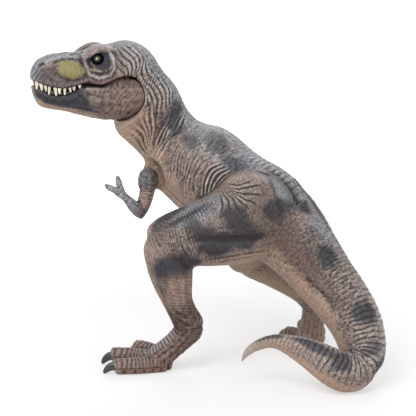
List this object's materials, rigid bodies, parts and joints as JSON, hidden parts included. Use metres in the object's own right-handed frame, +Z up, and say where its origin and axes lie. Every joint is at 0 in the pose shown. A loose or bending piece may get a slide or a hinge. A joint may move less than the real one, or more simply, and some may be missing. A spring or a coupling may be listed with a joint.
{
  "type": "toy dinosaur figure",
  "caption": "Hand-painted plastic two-legged meat-eating dinosaur figure, standing on its feet and a curled tail, with a hinged jaw and swivelling arms.",
  "frame": {"origin": "on the floor, below the centre of the figure's bounding box", "axes": "+Z up; the snout points along -X and the tail lies towards +X; the animal's left side, with the bend of its head and tail, faces -Y"},
  "size_m": [0.1738, 0.125, 0.1599],
  "materials": {
    "skin": "matt hand-painted PVC with a wash and dry-brushed scales",
    "pin": "plain drawn wire",
    "teeth": "semi-gloss ivory paint",
    "eyes": "gloss yellow with a black pupil and rim",
    "mouth": "satin maroon paint"
  },
  "bodies": {
    "figure": {"torso": "skin", "head": "skin", "jaw_pin": "pin", "upper_teeth": "teeth", "left_eye": "eyes", "right_eye": "eyes", "left_leg": "skin", "right_leg": "skin", "tail_base": "skin", "tail_end": "skin"},
    "jaw": {"lower_jaw": "skin", "lower_teeth": "teeth", "tongue": "mouth"},
    "left_arm": {"left_arm": "skin"},
    "right_arm": {"right_arm": "skin"}
  },
  "joints": [
    {"name": "jaw_hinge", "type": "hinge", "parent": "figure", "child": "jaw", "pos_m": [-0.04662, 0.01992, 0.1327], "axis": [0.309, -0.9511, 0], "range_deg": [0, 14]},
    {"name": "left_shoulder", "type": "hinge", "parent": "figure", "child": "left_arm", "pos_m": [-0.02682, 0.01625, 0.091], "axis": [-0.3962, -0.9182, 0], "range_deg": [-25, 25]},
    {"name": "right_shoulder", "type": "hinge", "parent": "figure", "child": "right_arm", "pos_m": [-0.01758, 0.03766, 0.091], "axis": [-0.3962, -0.9182, 0], "range_deg": [-30, 15]}
  ]
}
